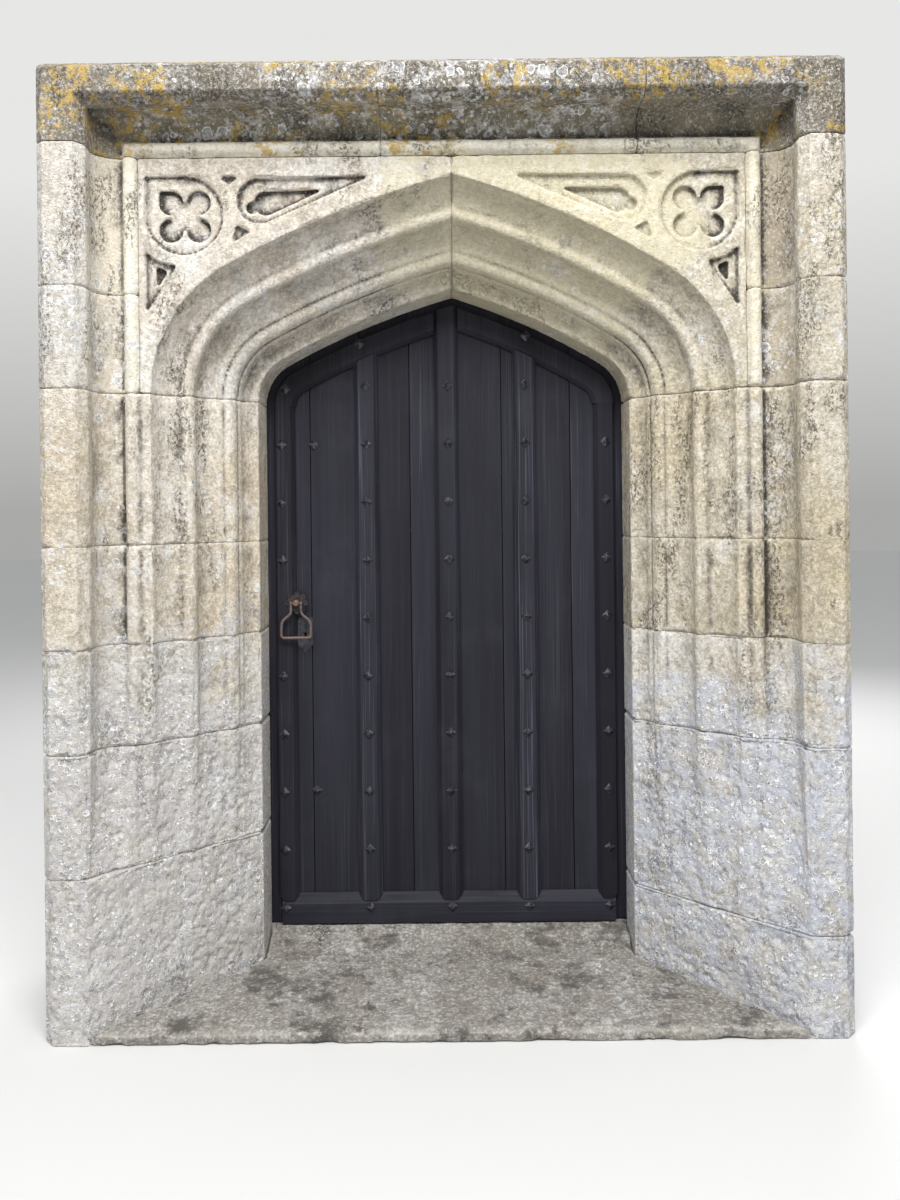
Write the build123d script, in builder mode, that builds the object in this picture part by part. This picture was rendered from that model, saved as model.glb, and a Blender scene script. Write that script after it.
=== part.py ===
from build123d import *
import os
from math import acos, atan2, cos, degrees, radians, sin, sqrt

# Arched plank door in its carved stone door-case.
# Millimetres, +z up, x to the right and -y outwards for someone who faces the outside.
# The origin is on the underside of the threshold, below the front of the leaf's boards.

os.makedirs("parts", exist_ok=True)

# Doorway and four-centred arch
SILL = 110                            # threshold thickness under the leaf
HALF_W = 603                          # half width of the doorway
SPRING = SILL + 1757                  # springing line
RISE = 363                            # springing to the point of the arch
APEX_X = 30                           # the point stands right of the doorway's middle
HAUNCH_R = 160                        # small radius over each jamb
HAUNCH_TURN = {1: 58.5, -1: 61.5}     # degrees that the small arc turns, right and left
REVEAL = 160                          # plain reveal in front of the leaf
REBATE_W = 25                         # step that the leaf shuts against
SWING_GAP = 7                         # leaf edge to stone

# Splayed mouldings: distance out, height over the splay, rise of the curve that ends there
ORDERS = [
    (49, 0, -15),
    (55, -7, 0),
    (95, -7, 21),
    (101, 2, 0),
    (163, 1, -14),
    (168, 8, 0),
    (190, 8, 7),
    (198, -9, 0),
    (270, 0, -15),
]
RING_W = ORDERS[-1][0] + 15           # moulded ring, measured out from the opening
RING_LAP = 10                         # lap of the ring into the spandrel

# Square frame round the arch
ROLL_IN = HALF_W + RING_W + 19
QUIRK_W = 4
QUIRK_D = 10
ROLL_W = 40
ROLL_RISE = 24
CASE_W = 70
CASE_D = 90
CASE_RISE = -30
LABEL_W = 135
LABEL_LIP = 25
LABEL_D = 60
LABEL_CHAMFER = 24
HEAD_Z = SPRING + RISE + 339           # underside of the square roll
LABEL_SLOPE = 70                      # depth of the weathering on top of the label
LABEL_FALL = 38

# Stone courses, heights above the sill
COURSES = {side: [-SILL, low, 711, 1010, 1305, SPRING - SILL] for side, low in ((-1, 360), (1, 176))}
FADE_LOW = 176                        # mouldings are worn away below this height
FADE_HIGH = 1010                      # and crisp above this one
FADE_LEAST = 0.08
SIDE_JOINT = SPRING + 293
LINTEL_CUTS = [-180, 584]
FOOT_FALL = [(20, 0), (160, 43), (580, 75)]   # threshold: distance out, fall

# Spandrel tracery on the right, from the doorway's middle
PANEL_Z = HEAD_Z - 54                 # top edge of the sinkings
CIRCLE_X = ROLL_IN - 137
CIRCLE_Z = HEAD_Z - 172
CIRCLE_R = 118
FOIL_STEP = 41                        # quatrefoil: centre to the centre of a foil, each way
FOIL_R = 36
SINK = 13
SINK_DEEP = 30
DAGGER_R = 68
DAGGER_X = ROLL_IN - 362
DAGGER_Z = HEAD_Z - 130
DAGGER_DROP = 4
DAGGER_TIP_X = ROLL_IN - 701
DAGGER_EYE_TIP_X = ROLL_IN - 555
# Small triangular sinkings: distance in from the square's corner, and down
SLIVER = [(21, 279), (21, 464), (115, 322), (61, 309)]
SLIVER_EYE = [(49, 319), (51, 391), (84, 335)]
EYELETS = [[(237, 58), (303, 58), (273, 80)], [(295, 203), (335, 223), (279, 255)]]
EYELET_D = 10

# Leaf
FRONT_T = 28
BACK_T = 25
LEAF_FOOT = SILL + 4
BOARD_SEAMS = [146 - HALF_W, -288, -118, -14, 194, HALF_W - 175]
BOARD_GAP = 3
COVER_T = 22
BEVEL = 13
OUTER_BEVEL = 5
STILE_IN = 95                         # stile edges, measured in from the opening
STILE_OUT = 28
HEAD_IN = 100
HEAD_OUT = 26
MUNTIN_W = 80
MUNTIN_X = {"muntin_left": -265, "muntin_middle": 8, "muntin_right": 273}
UPRIGHT_FOOT = SILL + 80
UPRIGHT_CLIP = 20
RAIL_TOP = SILL + 103
RAIL_BEVEL = 33
RAIL_EDGE = 5
RAIL_HALF = HALF_W - 38
HEAD_LAP = 9                          # muntin end lapped on the head's bevel

# Nails
ROW_FIRST = SILL + 58
ROW_PITCH = 196
ROWS = 10
STILE_NAIL_X = [51 - HALF_W, HALF_W - 57]
MUNTIN_NAIL_X = [-265, 12, 273]
HANDLE_ROW = 5
HEAD_NAILS = {-1: [(49, 59), (41, 209)], 1: [(34, 230)]}  # in from the opening, and up
STRAP_ROWS = [2, 8]
STRAP_END_NAIL_X = 157 - HALF_W
NAIL_W = 26
NAIL_H = 12
NAIL_RIM = 2
SHANK = 6
CLENCH = 22
CLENCH_T = 4

# Hinges
PIVOT_X = HALF_W + 62
STRAP_T = 6
STRAP_W = 45
STRAP_TIP_W = 30
STRAP_TIP_X = 103 - HALF_W
PIN_R = 7
PIN_CLEAR = 0.05
EYE_R = 13
EYE_LIFT = 1
HOOK_W = 18
HOOK_T = 16
HOOK_BURY = 95
PIN_OVER = 10

# Ring handle and escutcheon
HANDLE_X = 97 - HALF_W
HANDLE_Z = SILL + 1091
ROSE_R = 30
ROSE_LOBES = 8
ROSE_LOBE_R = 8.5
ROSE_T = 3.5
BOSS_R = 11
BOSS_OUT = 22
SPINDLE_R = 6
SPINDLE_HOLE_R = 8
RING_OUT = 15                         # ring's axis in front of the rose
RING_BAR_R = 4
RING_PIN_R = 3
RING_EYE_R = 6.5
RING_NECK = 16
RING_HALF = 51
RING_DROP = 118
KEY_X = 123 - HALF_W
KEY_Z = SILL + 984
KEY_R = 4.5
KEY_SLOT = 5
KEY_DROP = 16
PLATE_W = 50
PLATE_T = 3
PLATE_TOP = 55
PLATE_FOOT = 38
PLATE_POINT = 26

# Lock on the back of the leaf
LOCK_X = [-HALF_W - 14, 206 - HALF_W]
LOCK_Z = [SILL + 935, SILL + 1152]
LOCK_D = 40
LOCK_WALL = 3
BOLT_T = 12
BOLT_BACK = 0.3
BOLT_OUT = 1
BOLT_TAIL_X = 178 - HALF_W
GUIDE_X = 145 - HALF_W
GUIDE_T = 5
ARM_R = 22.6
ARM_TIP_R = 4
ARM_W = 4
ARM_PLAY = 1.3
NOTCH_UP = 6                          # latch notch above the arm's tip
NOTCH_FLARE = 4.2
LATCH_H = 24
DEAD_H = 28
DEAD_Z = SILL + 1018
SLIDE_PLAY = 0.3
KEEPER_X = [-HALF_W - 81, -HALF_W - 23]
KEEPER_D = 46
KEEPER_WALL = 5
MOUTH_PLAY = 2
KEEPER_RIM = 14
KEEPER_TANG = 60
SCREW_R = 4
SCREW_HEAD_R = 7
SCREW_DOME = 2.5
SCREW_IN = 9

LEAF_BACK = FRONT_T + BACK_T
CASE_OUT = ROLL_IN + QUIRK_W + ROLL_W + CASE_W
OUT_X = CASE_OUT + LABEL_W
SPANDREL_Y = -(REVEAL + ORDERS[-1][0])
WALL_Y = SPANDREL_Y - CASE_D
LABEL_Y = WALL_Y - LABEL_D
TOP_Z = HEAD_Z + OUT_X - ROLL_IN
LEAF_OUT = REBATE_W - SWING_GAP


def save(part, name):
    part.label = name
    export_step(part, f"parts/{name}.step")


# The four-centred arch, worked out for the right half; the left half is mirrored
def arch_half(side):
    turn = radians(HAUNCH_TURN[side])
    ux, uz = cos(turn), sin(turn)
    c1 = (HALF_W - HAUNCH_R, SPRING)
    vx, vz = APEX_X * side - c1[0], RISE
    wx, wz = vx - HAUNCH_R * ux, vz - HAUNCH_R * uz
    long_r = (wx * wx + wz * wz) / (2 * (HAUNCH_R - vx * ux - vz * uz))
    step = long_r - HAUNCH_R
    return c1, (c1[0] - step * ux, c1[1] - step * uz), long_r, turn


def arch_points(side, out):
    c1, c2, long_r, turn = arch_half(side)
    near, far = HAUNCH_R + out, long_r + out
    end_x = APEX_X * side
    end_z = c2[1] + sqrt(far * far - (end_x - c2[0]) ** 2)
    top = bearing(end_x - c2[0], end_z - c2[1])
    half = (turn + top) / 2
    points = [
        (HALF_W + out, SPRING),
        (c1[0] + near * cos(turn / 2), c1[1] + near * sin(turn / 2)),
        (c1[0] + near * cos(turn), c1[1] + near * sin(turn)),
        (c2[0] + far * cos(half), c2[1] + far * sin(half)),
        (end_x, end_z),
    ]
    return [(side * x, z) for x, z in points]


# Angle of a direction above the level
def bearing(dx, dz):
    return radians(Vector(1, 0).get_angle(Vector(dx, dz)))


# Area below the arch, a given distance out from the opening, drawn in the current sketch
def below_arch(out, foot):
    right, left = arch_points(1, out), arch_points(-1, out)
    with BuildLine() as outline:
        ThreePointArc(*right[0:3])
        ThreePointArc(*right[2:5])
        if abs(right[4][1] - left[4][1]) > 0.001:
            Line(right[4], left[4])
        ThreePointArc(left[4], left[3], left[2])
        ThreePointArc(left[2], left[1], left[0])
        Polyline(left[0], (left[0][0], foot), (right[0][0], foot), right[0])
    make_face(outline.edges())


# Point on the arch's outline, a given distance out from the opening and up from the springing
def arch_at(side, out, up):
    c1, c2, long_r, turn = arch_half(side)
    near, far = HAUNCH_R + out, long_r + out
    centre, radius = (c1, near) if up < near * sin(turn) else (c2, far)
    level = SPRING + up - centre[1]
    return side * (centre[0] + sqrt(radius * radius - level * level)), SPRING + up


# Sketch plane that faces outwards, at a given y; amounts below zero go inwards
def facing(y):
    return Plane(origin=(0, y, 0), x_dir=(1, 0, 0), z_dir=(0, -1, 0))


# Splayed orders from the reveal's arris to the spandrel's plane; keep is what wear has left
def splay_orders(start, keep):
    near = (start, -REVEAL)
    for along, level, rise in ORDERS:
        proud, shift = level * keep / sqrt(2), rise * keep / sqrt(2)
        far = (start + along - proud, -(REVEAL + along) - proud)
        if rise:
            ThreePointArc(near, ((near[0] + far[0]) / 2 - shift, (near[1] + far[1]) / 2 - shift), far)
        else:
            Line(near, far)
        near = far
    return near


# Square roll, casement hollow and label, from the roll's inner edge outwards
def square_orders(start, edge, keep):
    def worn(x, y):
        plain = -(REVEAL + x - edge)
        return (x, plain + keep * (y - plain))

    roll_in, case_out = start + QUIRK_W, start + CASE_OUT - ROLL_IN
    a = worn(start, SPANDREL_Y)
    q = worn(roll_in, SPANDREL_Y + QUIRK_D)
    b = worn(roll_in + ROLL_W, SPANDREL_Y + QUIRK_D / 2)
    c = worn(case_out, WALL_Y)
    d = worn(case_out, WALL_Y - LABEL_LIP)
    Line(a, q)
    ThreePointArc(q, ((q[0] + b[0]) / 2, (q[1] + b[1]) / 2 - ROLL_RISE * keep), b)
    shift = CASE_RISE * keep / sqrt(2)
    ThreePointArc(b, ((b[0] + c[0]) / 2 - shift, (b[1] + c[1]) / 2 - shift), c)
    out = start + OUT_X - ROLL_IN
    Polyline(
        c,
        d,
        (d[0] + LABEL_CHAMFER, LABEL_Y),
        (out - LABEL_CHAMFER, LABEL_Y),
        (out, LABEL_Y + LABEL_CHAMFER),
        (out, LEAF_BACK),
    )
    return a


def jamb_section(height, keep):
    with BuildSketch(Plane.XY.offset(height)) as section:
        with BuildLine():
            Polyline((HALF_W + REBATE_W, LEAF_BACK), (HALF_W + REBATE_W, 0), (HALF_W, 0), (HALF_W, -REVEAL))
            end = splay_orders(HALF_W, keep)
            start = (ROLL_IN, -(REVEAL + ROLL_IN - HALF_W) * (1 - keep) + SPANDREL_Y * keep)
            Line(end, start)
            square_orders(ROLL_IN, HALF_W, keep)
            Line((OUT_X, LEAF_BACK), (HALF_W + REBATE_W, LEAF_BACK))
        make_face()
    return section.sketch


def foot_section(height):
    toe = HALF_W - LABEL_Y - REVEAL
    with BuildSketch(Plane.XY.offset(height)) as section:
        with BuildLine():
            Polyline(
                (HALF_W + REBATE_W, LEAF_BACK),
                (HALF_W + REBATE_W, 0),
                (HALF_W, 0),
                (HALF_W, -REVEAL),
                (toe, LABEL_Y),
                (OUT_X - LABEL_CHAMFER, LABEL_Y),
                (OUT_X, LABEL_Y + LABEL_CHAMFER),
                (OUT_X, LEAF_BACK),
                close=True,
            )
        make_face()
    return section.sketch


def wear(height):
    share = (height - FADE_LOW) / (FADE_HIGH - FADE_LOW)
    return min(1, max(FADE_LEAST, share))


# Nail places: stiles, muntins, strap ends and the arched heads
row_z = [ROW_FIRST + ROW_PITCH * row for row in range(ROWS)]
cover_nails = [(x, z) for x in MUNTIN_NAIL_X for z in row_z]
for nail_x in STILE_NAIL_X:
    for row in range(ROWS - 1):
        if nail_x > 0 or row != HANDLE_ROW:
            cover_nails.append((nail_x, row_z[row]))
for side, places in HEAD_NAILS.items():
    cover_nails += [arch_at(side, -inward, up) for inward, up in places]
board_nails = [(STRAP_END_NAIL_X, row_z[row]) for row in STRAP_ROWS]
all_nails = cover_nails + board_nails


# Square nail holes through the current part, between two depths
def nail_holes(low_x, high_x, low_z, high_z, front, depth):
    inside = [p for p in all_nails if low_x < p[0] < high_x and low_z < p[1] < high_z]
    if inside:
        with BuildSketch(facing(front)) as shanks:
            with Locations(*inside):
                Rectangle(SHANK, SHANK)
        extrude(shanks.sketch, amount=-depth, mode=Mode.SUBTRACT)


hook_z = [row_z[row] - STRAP_W / 2 for row in STRAP_ROWS]
pivot_y = LEAF_BACK + EYE_R + EYE_LIFT
latch_z = HANDLE_Z + ARM_R
keeper_z = [DEAD_Z - DEAD_H / 2 - KEEPER_RIM, latch_z + LATCH_H / 2 + KEEPER_RIM]
tang_z = [DEAD_Z, latch_z - LATCH_H / 2]


# Jamb courses, right side drawn and left side mirrored
def jamb_course(side, low, high):
    with BuildPart() as stone:
        if low < 0:
            extrude(foot_section(SILL + low), amount=high - low)
        elif wear(low) == wear(high):
            extrude(jamb_section(SILL + low, wear(low)), amount=high - low)
        else:
            faded = [jamb_section(SILL + z, wear(z)) for z in (low, high)]
            loft(sections=faded, ruled=True)
        if side > 0:
            for z in hook_z:
                if SILL + low < z < SILL + high:
                    with BuildSketch(facing(LEAF_BACK)):
                        with Locations((PIVOT_X, z - HOOK_T / 2)):
                            Rectangle(HOOK_W, HOOK_T)
                    extrude(amount=HOOK_BURY, mode=Mode.SUBTRACT)
        else:
            for z in tang_z:
                if SILL + low < z < SILL + high:
                    with BuildSketch(facing(LEAF_BACK)):
                        with Locations((-KEEPER_X[0] - HOOK_T / 2 - KEEPER_WALL, z + HOOK_T / 2)):
                            Rectangle(HOOK_T, HOOK_T)
                    extrude(amount=KEEPER_TANG, mode=Mode.SUBTRACT)
    return stone.part if side > 0 else mirror(stone.part, about=Plane.YZ)


SIDE_NAME = {-1: "left", 1: "right"}
for side in (-1, 1):
    for index in range(len(COURSES[side]) - 1):
        course = jamb_course(side, COURSES[side][index], COURSES[side][index + 1])
        save(course, f"jamb_{SIDE_NAME[side]}_{index + 1}")


# Side stones beside the arch: roll, casement and label
def square_section(plane, start):
    with BuildSketch(plane) as section:
        with BuildLine():
            a = square_orders(start, HALF_W, 1)
            Polyline((start + OUT_X - ROLL_IN, LEAF_BACK), (start, LEAF_BACK), a)
        make_face()
    return section.sketch


def side_stone(side, low, high):
    with BuildPart() as stone:
        extrude(square_section(Plane.XY.offset(low), ROLL_IN), amount=high - low)
    return stone.part if side > 0 else mirror(stone.part, about=Plane.YZ)


for side in (-1, 1):
    save(side_stone(side, SPRING, SIDE_JOINT), f"side_{SIDE_NAME[side]}_low")
    save(side_stone(side, SIDE_JOINT, HEAD_Z), f"side_{SIDE_NAME[side]}_high")


# Lintel stones over the square, with mitred corners
def corner_leg(side):
    with BuildPart() as leg:
        extrude(square_section(Plane.XY.offset(HEAD_Z), ROLL_IN), amount=TOP_Z - HEAD_Z)
        split(bisect_by=Plane(origin=(ROLL_IN, 0, HEAD_Z), z_dir=(1, 0, -1)), keep=Keep.TOP)
    return leg.part if side > 0 else mirror(leg.part, about=Plane.YZ)


def lintel(left_x, right_x):
    legs = {side: corner_leg(side) for side in (-1, 1) if abs(right_x if side > 0 else left_x) > ROLL_IN}
    with BuildPart() as stone:
        run = Plane(origin=(right_x, 0, 0), x_dir=(0, 0, 1), z_dir=(-1, 0, 0))
        extrude(square_section(run, HEAD_Z), amount=right_x - left_x)
        for side, leg in legs.items():
            split(bisect_by=Plane(origin=(side * ROLL_IN, 0, HEAD_Z), z_dir=(side, 0, -1)), keep=Keep.BOTTOM)
            add(leg)
        # weathered top of the label
        with BuildSketch(Plane.YZ.offset(left_x - 1)):
            with BuildLine():
                Polyline(
                    (LABEL_Y - 1, TOP_Z - LABEL_FALL),
                    (LABEL_Y + LABEL_SLOPE, TOP_Z),
                    (LABEL_Y + LABEL_SLOPE, TOP_Z + 1),
                    (LABEL_Y - 1, TOP_Z + 1),
                    close=True,
                )
            make_face()
        extrude(amount=right_x - left_x + 2, mode=Mode.SUBTRACT)
    return stone.part


save(lintel(-OUT_X, LINTEL_CUTS[0]), "lintel_left")
save(lintel(LINTEL_CUTS[0], LINTEL_CUTS[1]), "lintel_middle")
save(lintel(LINTEL_CUTS[1], OUT_X), "lintel_right")


# Arch heads: moulded ring and carved spandrel cut from one stone on each side
def ring_section(plane, start):
    with BuildSketch(plane) as section:
        with BuildLine():
            Polyline((start + REBATE_W, LEAF_BACK), (start + REBATE_W, 0), (start, 0), (start, -REVEAL))
            end = splay_orders(start, 1)
            rim = start + RING_W
            Polyline(end, (rim, SPANDREL_Y), (rim, LEAF_BACK), (start + REBATE_W, LEAF_BACK))
        make_face()
    return section.sketch


# Plane that holds the section of an arc, turned up from the springing
def arc_plane(centre, turn):
    return Plane(
        origin=(centre[0], 0, centre[1]), x_dir=(cos(turn), 0, sin(turn)), z_dir=(-sin(turn), 0, cos(turn))
    )


def round_arch(side, section):
    c1, c2, long_r, turn = arch_half(side)
    with BuildPart() as sweep_part:
        add(section(arc_plane(c1, 0), HAUNCH_R))
        revolve(axis=Axis((c1[0], 0, c1[1]), (0, -1, 0)), revolution_arc=degrees(turn))
        add(section(arc_plane(c2, turn), long_r))
        revolve(axis=Axis((c2[0], 0, c2[1]), (0, -1, 0)), revolution_arc=100 - degrees(turn))
    return sweep_part.part


# Outline of a round end drawn out to a point, from the two tangents
def teardrop(x, z, r, tip_x, tip_z):
    dx, dz = tip_x - x, tip_z - z
    aim, spread = atan2(dz, dx), acos(r / sqrt(dx * dx + dz * dz))
    ends = [(x + r * cos(aim + way * spread), z + r * sin(aim + way * spread)) for way in (1, -1)]
    with BuildLine() as outline:
        ThreePointArc(ends[0], (x - r * cos(aim), z - r * sin(aim)), ends[1])
        Polyline(ends[1], (tip_x, tip_z), ends[0])
    make_face(outline.edges())


def corner_face(places):
    with BuildLine() as outline:
        Polyline(*[(ROLL_IN - inward, HEAD_Z - down) for inward, down in places], close=True)
    make_face(outline.edges())


# Round panel squared into the spandrel's corner
def corner_panel(x, z, r):
    with Locations((x, z)):
        Circle(r)
    with Locations((x + r / 2, z + r / 2)):
        Rectangle(r, r)


# Sinkings of a right-hand spandrel, shallow ones first
def spandrel_cuts():
    with BuildSketch(facing(SPANDREL_Y)) as shallow:
        corner_panel(CIRCLE_X, CIRCLE_Z, CIRCLE_R)
        teardrop(DAGGER_X, DAGGER_Z, DAGGER_R, DAGGER_TIP_X, PANEL_Z - DAGGER_DROP)
        corner_face(SLIVER)
    extrude(shallow.sketch, amount=-SINK, mode=Mode.SUBTRACT)
    with BuildSketch(facing(SPANDREL_Y)) as small:
        for eyelet in EYELETS:
            corner_face(eyelet)
    extrude(small.sketch, amount=-EYELET_D, mode=Mode.SUBTRACT)
    with BuildSketch(facing(SPANDREL_Y)) as deep:
        for i, j in ((-1, -1), (1, -1), (-1, 1)):
            with Locations((CIRCLE_X + FOIL_STEP * i, CIRCLE_Z + FOIL_STEP * j)):
                Circle(FOIL_R)
        corner_panel(CIRCLE_X + FOIL_STEP, CIRCLE_Z + FOIL_STEP, FOIL_R)
        with Locations((CIRCLE_X, CIRCLE_Z)):
            Circle(FOIL_STEP)
        teardrop(DAGGER_X - FOIL_R / 2, DAGGER_Z - DAGGER_DROP, FOIL_R, DAGGER_EYE_TIP_X, DAGGER_Z + FOIL_R)
        with Locations((DAGGER_X + DAGGER_R / 3, DAGGER_Z - DAGGER_R / 4)):
            Circle(FOIL_R / 2)
        corner_face(SLIVER_EYE)
    extrude(deep.sketch, amount=-SINK_DEEP, mode=Mode.SUBTRACT)


def arch_head(side):
    edge = arch_points(side, RING_W - RING_LAP)
    edge = [(side * x, z) for x, z in edge]
    with BuildPart() as stone:
        add(round_arch(side, ring_section))
        split(bisect_by=Plane(origin=(APEX_X * side, 0, 0), z_dir=(1, 0, 0)), keep=Keep.TOP)
        with BuildSketch(facing(LEAF_BACK)):
            with BuildLine():
                ThreePointArc(*edge[0:3])
                ThreePointArc(*edge[2:5])
                Polyline(edge[4], (edge[4][0], HEAD_Z), (ROLL_IN, HEAD_Z), (ROLL_IN, SPRING), edge[0])
            make_face()
        extrude(amount=LEAF_BACK - SPANDREL_Y)
        spandrel_cuts()
    return stone.part if side > 0 else mirror(stone.part, about=Plane.YZ)


for side in (-1, 1):
    save(arch_head(side), f"arch_head_{SIDE_NAME[side]}")

# Threshold slab between the jamb feet, with its top falling outwards
toe_x = HALF_W - LABEL_Y - REVEAL
with BuildPart() as threshold:
    with BuildSketch():
        with BuildLine():
            half = [
                (HALF_W + REBATE_W, LEAF_BACK),
                (HALF_W + REBATE_W, 0),
                (HALF_W, 0),
                (HALF_W, -REVEAL),
                (toe_x, LABEL_Y),
            ]
            Polyline(*half, *[(-x, y) for x, y in reversed(half)], close=True)
        make_face()
    extrude(amount=SILL)
    with BuildSketch(Plane.YZ):
        with BuildLine():
            falls = [(-out, SILL - fall) for out, fall in FOOT_FALL]
            edge_y, edge_z = falls[-1]
            past = edge_y - 1
            Polyline(*falls, (past, edge_z), (past, SILL + 1), (falls[0][0], SILL + 1), close=True)
        make_face()
    extrude(amount=toe_x + 1, both=True, mode=Mode.SUBTRACT)
save(threshold.part, "threshold")


# Leaf boards: upright in front, level behind, both cut to the arch
def leaf_board(low_x, high_x, low_z, high_z, front, depth):
    with BuildPart() as board:
        with BuildSketch(facing(front)):
            below_arch(LEAF_OUT, LEAF_FOOT)
            with Locations(((low_x + high_x) / 2, (low_z + high_z) / 2)):
                Rectangle(high_x - low_x, high_z - low_z, mode=Mode.INTERSECT)
        extrude(amount=-depth)
        nail_holes(low_x, high_x, low_z, high_z, front, depth)
        if low_x < HANDLE_X < high_x and low_z < HANDLE_Z < high_z:
            with BuildSketch(facing(front)):
                with Locations((HANDLE_X, HANDLE_Z)):
                    Circle(SPINDLE_HOLE_R)
            extrude(amount=-depth, mode=Mode.SUBTRACT)
        if low_x < KEY_X < high_x and low_z < KEY_Z < high_z:
            with BuildSketch(facing(front)):
                keyhole()
            extrude(amount=-depth, mode=Mode.SUBTRACT)
    return board.part


def keyhole():
    with Locations((KEY_X, KEY_Z)):
        Circle(KEY_R)
    with Locations((KEY_X, KEY_Z - KEY_DROP / 2)):
        Rectangle(KEY_SLOT, KEY_DROP)


leaf_half = HALF_W + LEAF_OUT
seams = [-leaf_half - BOARD_GAP / 2] + BOARD_SEAMS + [leaf_half + BOARD_GAP / 2]
tall = SPRING + RISE + 2 * LEAF_OUT
for index in range(len(seams) - 1):
    low_x, high_x = seams[index] + BOARD_GAP / 2, seams[index + 1] - BOARD_GAP / 2
    save(leaf_board(low_x, high_x, LEAF_FOOT, tall, 0, FRONT_T), f"front_board_{index + 1}")

levels = [LEAF_FOOT] + [ROW_FIRST + ROW_PITCH * (row + 0.5) for row in range(ROWS)] + [tall]
for index in range(len(levels) - 1):
    low_z, high_z = levels[index], levels[index + 1] - (BOARD_GAP / 2 if index < len(levels) - 2 else 0)
    save(leaf_board(-leaf_half, leaf_half, low_z, high_z, FRONT_T, BACK_T), f"back_board_{index + 1}")

# Bottom rail with its bevelled top
with BuildPart() as bottom_rail:
    with BuildSketch(Plane.YZ):
        with BuildLine():
            Polyline(
                (0, LEAF_FOOT),
                (-COVER_T, LEAF_FOOT),
                (-COVER_T, RAIL_TOP - RAIL_BEVEL),
                (-RAIL_EDGE, RAIL_TOP),
                (0, RAIL_TOP),
                close=True,
            )
        make_face()
    extrude(amount=RAIL_HALF, both=True)
    nail_holes(-RAIL_HALF, RAIL_HALF, LEAF_FOOT, RAIL_TOP, -COVER_T, COVER_T)
save(bottom_rail.part, "bottom_rail")


# Arched head pieces, turned round the same centres as the stone arch
def head_section(plane, start):
    low, high = start - HEAD_IN, start - HEAD_OUT
    with BuildSketch(plane) as section:
        with BuildLine():
            Polyline(
                (low, 0),
                (low, BEVEL - COVER_T),
                (low + BEVEL, -COVER_T),
                (high - OUTER_BEVEL, -COVER_T),
                (high, OUTER_BEVEL - COVER_T),
                (high, 0),
                close=True,
            )
        make_face()
    return section.sketch


middle_x = MUNTIN_X["muntin_middle"]
heads = {}
for side in (-1, 1):
    with BuildPart() as head:
        add(round_arch(side, head_section))
        edge_x = MUNTIN_W / 2 + middle_x * side
        split(bisect_by=Plane(origin=(edge_x, 0, 0), z_dir=(1, 0, 0)), keep=Keep.TOP)
        if side < 0:
            mirror(about=Plane.YZ, mode=Mode.REPLACE)
        nail_holes(-leaf_half, leaf_half, SPRING, tall, -COVER_T, COVER_T)
    heads[side] = head.part
    save(head.part, f"head_{SIDE_NAME[side]}")


# Stiles and muntins: bevelled uprights whose feet lap on the rail
def upright(low_x, high_x, low_bevel, high_bevel, top_out, top_z):
    with BuildPart() as piece:
        with BuildSketch(Plane.XY.offset(UPRIGHT_FOOT)):
            with BuildLine():
                Polyline(
                    (low_x, 0),
                    (low_x, low_bevel - COVER_T),
                    (low_x + low_bevel, -COVER_T),
                    (high_x - high_bevel, -COVER_T),
                    (high_x, high_bevel - COVER_T),
                    (high_x, 0),
                    close=True,
                )
            make_face()
        extrude(amount=top_z - UPRIGHT_FOOT)
        for edge, way in ((low_x, 1), (high_x, -1)):
            with BuildSketch(facing(0)):
                with BuildLine():
                    Polyline(
                        (edge, UPRIGHT_FOOT),
                        (edge + way * UPRIGHT_CLIP, UPRIGHT_FOOT),
                        (edge, UPRIGHT_FOOT + UPRIGHT_CLIP),
                        close=True,
                    )
                make_face()
            extrude(amount=COVER_T, mode=Mode.SUBTRACT)
        if top_out is not None:
            with BuildSketch(facing(0)):
                below_arch(-top_out, LEAF_FOOT)
            extrude(amount=COVER_T, mode=Mode.INTERSECT)
        add(bottom_rail.part, mode=Mode.SUBTRACT)
        for side in (-1, 1):
            add(heads[side], mode=Mode.SUBTRACT)
        nail_holes(low_x, high_x, UPRIGHT_FOOT, tall, -COVER_T, COVER_T)
        if low_x < HANDLE_X + SPINDLE_HOLE_R and high_x > HANDLE_X - SPINDLE_HOLE_R:
            with BuildSketch(facing(0)):
                with Locations((HANDLE_X, HANDLE_Z)):
                    Circle(SPINDLE_HOLE_R)
            extrude(amount=COVER_T, mode=Mode.SUBTRACT)
    return piece.part


for name, x in MUNTIN_X.items():
    top_out = HEAD_OUT if name == "muntin_middle" else HEAD_IN - HEAD_LAP
    save(upright(x - MUNTIN_W / 2, x + MUNTIN_W / 2, BEVEL, BEVEL, top_out, tall), name)
stile_low, stile_high = HALF_W - STILE_IN, HALF_W - STILE_OUT
save(upright(-stile_high, -stile_low, OUTER_BEVEL, BEVEL, None, SPRING), "stile_left")
save(upright(stile_low, stile_high, BEVEL, OUTER_BEVEL, None, SPRING), "stile_right")


# Nail: pyramid head, square shank through the leaf, end clenched on the back
def nail(front, back):
    with BuildPart() as one:
        with BuildSketch(facing(front)):
            Rectangle(NAIL_W, NAIL_W, rotation=45)
        extrude(amount=NAIL_RIM)
        with BuildSketch(facing(front - NAIL_RIM)):
            Rectangle(NAIL_W, NAIL_W, rotation=45)
        with BuildSketch(facing(front - NAIL_H)):
            Rectangle(NAIL_W / 6, NAIL_W / 6, rotation=45)
        loft(ruled=True)
        with BuildSketch(facing(front)):
            Rectangle(SHANK, SHANK)
        extrude(amount=front - back)
        with BuildSketch(facing(back)):
            with Locations((0, (CLENCH - SHANK) / 2)):
                Rectangle(SHANK, CLENCH)
        extrude(amount=-CLENCH_T)
    return one.part


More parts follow.
